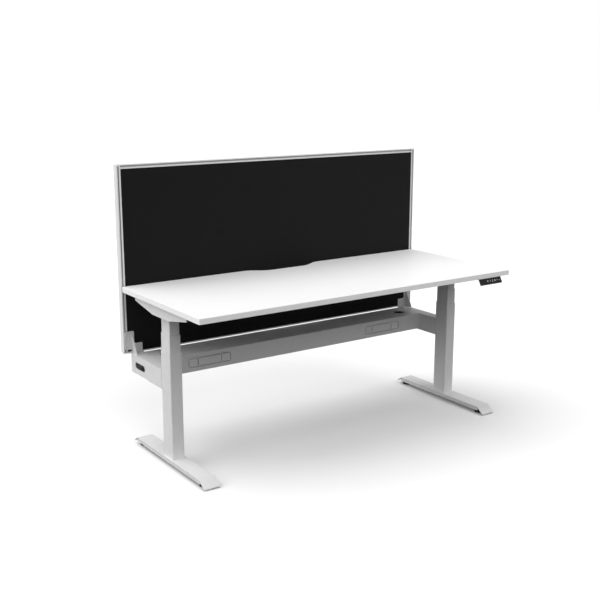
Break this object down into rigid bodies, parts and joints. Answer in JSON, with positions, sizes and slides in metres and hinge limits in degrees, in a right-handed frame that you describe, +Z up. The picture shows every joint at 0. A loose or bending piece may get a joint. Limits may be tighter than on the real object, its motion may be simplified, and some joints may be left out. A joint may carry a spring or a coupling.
{
  "type": "height-adjustable office workstation",
  "caption": "Single-sided sit-stand workstation: a wide worktop on two telescopic columns with a fabric screen and a cable beam behind it.",
  "frame": {"origin": "on the floor, midway between the two columns and on their centre line", "axes": "+X to the user's right along the worktop, +Y to the back towards the screen, +Z up"},
  "size_m": [1.8, 0.81, 1.35],
  "materials": {
    "frame_paint": "satin powder coat",
    "screen_frame": "satin, light grey",
    "screen_fabric": "black woven cloth",
    "screen_board": "raw fibreboard",
    "worktop_board": "white melamine",
    "worktop_edge": "white edging",
    "steel": "zinc plated",
    "motor": "black motor can",
    "guide_plastic": "grey nylon",
    "black_plastic": "fine texture",
    "handset_face": "satin black",
    "handset_keys": "satin black",
    "circuit": "green board"
  },
  "bodies": {
    "base": {"foot_right": "frame_paint", "foot_left": "frame_paint", "glide_nuts": "steel", "column_bases": "frame_paint", "lower_nuts": "guide_plastic", "outer_tube_right": "frame_paint", "outer_tube_left": "frame_paint", "outer_tube_liners": "guide_plastic", "side_arm_right": "frame_paint", "side_arm_left": "frame_paint", "cable_beam": "frame_paint", "frame_bolts": "steel", "screen_bracket_right": "frame_paint", "screen_bracket_left": "frame_paint", "screen_clamp_plates": "frame_paint", "screen_bolts": "steel", "screen_stile_right": "screen_frame", "screen_stile_left": "screen_frame", "screen_rail_top": "screen_frame", "screen_rail_bottom": "screen_frame", "screen_dowels": "steel", "screen_core": "screen_board", "screen_fabric_front": "screen_fabric", "screen_fabric_rear": "screen_fabric"},
    "top": {"worktop": "worktop_board", "worktop_edging": "worktop_edge", "support_arm_right": "frame_paint", "support_arm_left": "frame_paint", "worktop_screws": "steel", "inner_tube_right": "frame_paint", "inner_tube_left": "frame_paint", "column_head_bolts": "steel", "inner_tube_liners": "guide_plastic", "upper_nuts": "guide_plastic", "lift_motors": "motor", "control_box": "black_plastic", "control_board": "circuit", "handset_housing": "black_plastic", "handset_panel": "handset_face", "handset_board": "circuit"},
    "mid_stage_right": {"mid_tube_right": "frame_paint", "mid_liners_right": "guide_plastic", "spindle_bearing_right": "steel"},
    "spindle_right": {"lift_spindle_right": "steel"},
    "rod_right": {"drive_rod_right": "steel"},
    "glide_front_right_screw": {"glide_front_right": "black_plastic"},
    "glide_rear_right_screw": {"glide_rear_right": "black_plastic"},
    "mid_stage_left": {"mid_tube_left": "frame_paint", "mid_liners_left": "guide_plastic", "spindle_bearing_left": "steel"},
    "spindle_left": {"lift_spindle_left": "steel"},
    "rod_left": {"drive_rod_left": "steel"},
    "glide_front_left_screw": {"glide_front_left": "black_plastic"},
    "glide_rear_left_screw": {"glide_rear_left": "black_plastic"},
    "key_memory": {"button_memory": "handset_keys"},
    "key_one": {"button_one": "handset_keys"},
    "key_two": {"button_two": "handset_keys"},
    "key_three": {"button_three": "handset_keys"},
    "key_up": {"button_up": "handset_keys"},
    "key_down": {"button_down": "handset_keys"}
  },
  "joints": [
    {"name": "desk_lift", "type": "slide", "parent": "base", "child": "top", "axis": [0, 0, 1], "range_m": [-0.14, 0.51]},
    {"name": "mid_stage_right_lift", "type": "slide", "parent": "base", "child": "mid_stage_right", "axis": [0, 0, 1], "range_m": [-0.07, 0.255]},
    {"name": "spindle_right_turn", "type": "hinge", "parent": "mid_stage_right", "child": "spindle_right", "pos_m": [0.835, 0, 0.3], "axis": [0, 0, 1], "range_deg": [-2520.5, 9180.5]},
    {"name": "rod_right_turn", "type": "hinge", "parent": "top", "child": "rod_right", "pos_m": [0.835, 0, 0.4], "axis": [0, 0, 1], "range_deg": [-2520.5, 9180.5]},
    {"name": "glide_front_right_turn", "type": "hinge", "parent": "base", "child": "glide_front_right_screw", "pos_m": [0.835, -0.285, 0.02], "axis": [0, 0, 1], "continuous": true},
    {"name": "glide_rear_right_turn", "type": "hinge", "parent": "base", "child": "glide_rear_right_screw", "pos_m": [0.835, 0.3, 0.02], "axis": [0, 0, 1], "continuous": true},
    {"name": "mid_stage_left_lift", "type": "slide", "parent": "base", "child": "mid_stage_left", "axis": [0, 0, 1], "range_m": [-0.07, 0.255]},
    {"name": "spindle_left_turn", "type": "hinge", "parent": "mid_stage_left", "child": "spindle_left", "pos_m": [-0.835, 0, 0.3], "axis": [0, 0, 1], "range_deg": [-2520.5, 9180.5]},
    {"name": "rod_left_turn", "type": "hinge", "parent": "top", "child": "rod_left", "pos_m": [-0.835, 0, 0.4], "axis": [0, 0, 1], "range_deg": [-2520.5, 9180.5]},
    {"name": "glide_front_left_turn", "type": "hinge", "parent": "base", "child": "glide_front_left_screw", "pos_m": [-0.835, -0.285, 0.02], "axis": [0, 0, 1], "continuous": true},
    {"name": "glide_rear_left_turn", "type": "hinge", "parent": "base", "child": "glide_rear_left_screw", "pos_m": [-0.835, 0.3, 0.02], "axis": [0, 0, 1], "continuous": true},
    {"name": "key_memory_press", "type": "slide", "parent": "top", "child": "key_memory", "axis": [0, 0.8815, -0.4722], "range_m": [0, 0.0008], "stiffness_N_per_m": 3000},
    {"name": "key_one_press", "type": "slide", "parent": "top", "child": "key_one", "axis": [0, 0.8815, -0.4722], "range_m": [0, 0.0008], "stiffness_N_per_m": 3000},
    {"name": "key_two_press", "type": "slide", "parent": "top", "child": "key_two", "axis": [0, 0.8815, -0.4722], "range_m": [0, 0.0008], "stiffness_N_per_m": 3000},
    {"name": "key_three_press", "type": "slide", "parent": "top", "child": "key_three", "axis": [0, 0.8815, -0.4722], "range_m": [0, 0.0008], "stiffness_N_per_m": 3000},
    {"name": "key_up_press", "type": "slide", "parent": "top", "child": "key_up", "axis": [0, 0.8815, -0.4722], "range_m": [0, 0.0008], "stiffness_N_per_m": 3000},
    {"name": "key_down_press", "type": "slide", "parent": "top", "child": "key_down", "axis": [0, 0.8815, -0.4722], "range_m": [0, 0.0008], "stiffness_N_per_m": 3000}
  ],
  "couplings": [
    {"joint": "mid_stage_right_lift", "follows": "desk_lift", "ratio": 0.5},
    {"joint": "spindle_right_turn", "follows": "desk_lift", "rad_per_m": 314.16},
    {"joint": "rod_right_turn", "follows": "desk_lift", "rad_per_m": 314.16},
    {"joint": "mid_stage_left_lift", "follows": "desk_lift", "ratio": 0.5},
    {"joint": "spindle_left_turn", "follows": "desk_lift", "rad_per_m": 314.16},
    {"joint": "rod_left_turn", "follows": "desk_lift", "rad_per_m": 314.16}
  ]
}
